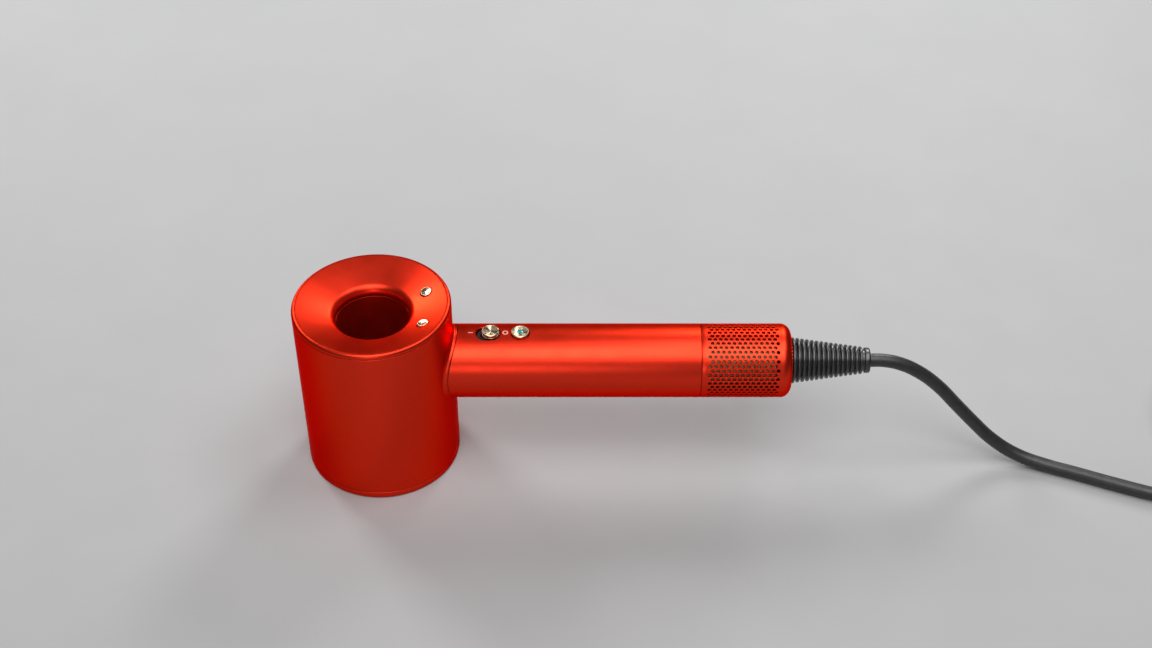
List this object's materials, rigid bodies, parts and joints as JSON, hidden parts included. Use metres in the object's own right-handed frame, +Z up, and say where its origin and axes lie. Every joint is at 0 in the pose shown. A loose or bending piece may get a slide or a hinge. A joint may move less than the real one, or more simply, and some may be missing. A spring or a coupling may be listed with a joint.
{
  "type": "hair dryer",
  "caption": "Compact hair dryer with a ring-shaped head open through the middle, a round handle with a pull-off perforated filter cage, flush buttons and a coiled mains lead.",
  "frame": {"origin": "on the surface that the air outlet stands on, under the middle of the dryer without its lead", "axes": "+Z up along the head's through-bore from the air outlet to the rear inlet, +X along the handle from the head to the lead, +Y to the left of the handle seen from the head"},
  "size_m": [0.624, 0.112, 0.0969],
  "materials": {
    "casing": "satin metallic",
    "bore": "satin metallic",
    "button_metal": "spun",
    "lens": "gloss",
    "black_plastic": "matte",
    "relief_rubber": "matte",
    "cord_rubber": "satin",
    "plug_plastic": "satin",
    "pin_metal": "polished",
    "steel": "brushed",
    "aluminium": "satin",
    "copper": "satin",
    "mica": "matte",
    "board": "satin",
    "foam": "matte",
    "filter_mesh": "satin",
    "soft_mount": "matte",
    "tie": "matte",
    "wire_red": "satin"
  },
  "bodies": {
    "dryer": {"head_shell": "casing", "rear_cover": "casing", "bore_tube": "bore", "outlet_ring": "casing", "magnet_ring": "steel", "heater_frame": "mica", "heater_wire_1": "steel", "heater_wire_2": "steel", "heat_shield": "mica", "air_distributor": "black_plastic", "thermal_cutout": "steel", "thermistor": "black_plastic", "ion_emitter": "steel", "rear_seal": "soft_mount", "button_board": "board", "speed_switch": "black_plastic", "heat_switch": "black_plastic", "handle_tube": "casing", "neck_sleeve": "black_plastic", "slider_track": "black_plastic", "slide_switch": "steel", "control_board": "board", "cold_shot_switch": "black_plastic", "foam_liner": "foam", "main_board": "board", "capacitor": "black_plastic", "power_module": "aluminium", "motor_housing": "aluminium", "motor_mount_front": "soft_mount", "motor_mount_rear": "soft_mount", "stator_core": "steel", "stator_windings": "copper", "front_bearing": "steel", "rear_bearing": "steel", "diffuser": "black_plastic", "filter_frame": "black_plastic", "filter_mesh": "filter_mesh", "base_plate": "black_plastic", "cord_clamp": "black_plastic", "clamp_screw_1": "steel", "clamp_screw_2": "steel", "strain_relief": "relief_rubber", "internal_lead": "cord_rubber", "wiring_harness": "wire_red", "cord_run": "cord_rubber", "cord_tail": "cord_rubber", "cord_coil": "cord_rubber", "cable_tie": "tie", "plug_body": "plug_plastic", "plug_pin_1": "pin_metal", "plug_pin_2": "pin_metal"},
    "power_slider": {"power_slider": "button_metal"},
    "speed_button": {"speed_button": "button_metal"},
    "heat_button": {"heat_button": "button_metal"},
    "cold_shot_button": {"cold_shot_button": "button_metal", "cold_shot_lens": "lens"},
    "filter_cage": {"filter_cage": "casing"},
    "rotor": {"rotor_shaft": "steel", "rotor_magnet": "steel", "impeller": "aluminium"}
  },
  "joints": [
    {"name": "power_slide", "type": "slide", "parent": "dryer", "child": "power_slider", "axis": [-1, 0, 0], "range_m": [0, 0.0025]},
    {"name": "speed_press", "type": "slide", "parent": "dryer", "child": "speed_button", "axis": [0.2958, 0.136, -0.9455], "range_m": [0, 0.0008], "stiffness_N_per_m": 800, "springref_m": -0.0008},
    {"name": "heat_press", "type": "slide", "parent": "dryer", "child": "heat_button", "axis": [0.2958, -0.136, -0.9455], "range_m": [0, 0.0008], "stiffness_N_per_m": 800, "springref_m": -0.0008},
    {"name": "cold_shot_press", "type": "slide", "parent": "dryer", "child": "cold_shot_button", "axis": [0, 0, -1], "range_m": [0, 0.001], "stiffness_N_per_m": 800, "springref_m": -0.0008},
    {"name": "filter_cage_pull", "type": "slide", "parent": "dryer", "child": "filter_cage", "axis": [1, 0, 0], "range_m": [0, 0.048]},
    {"name": "rotor_spin", "type": "hinge", "parent": "dryer", "child": "rotor", "pos_m": [0, 0, 0.0592], "axis": [1, 0, 0], "continuous": true}
  ]
}
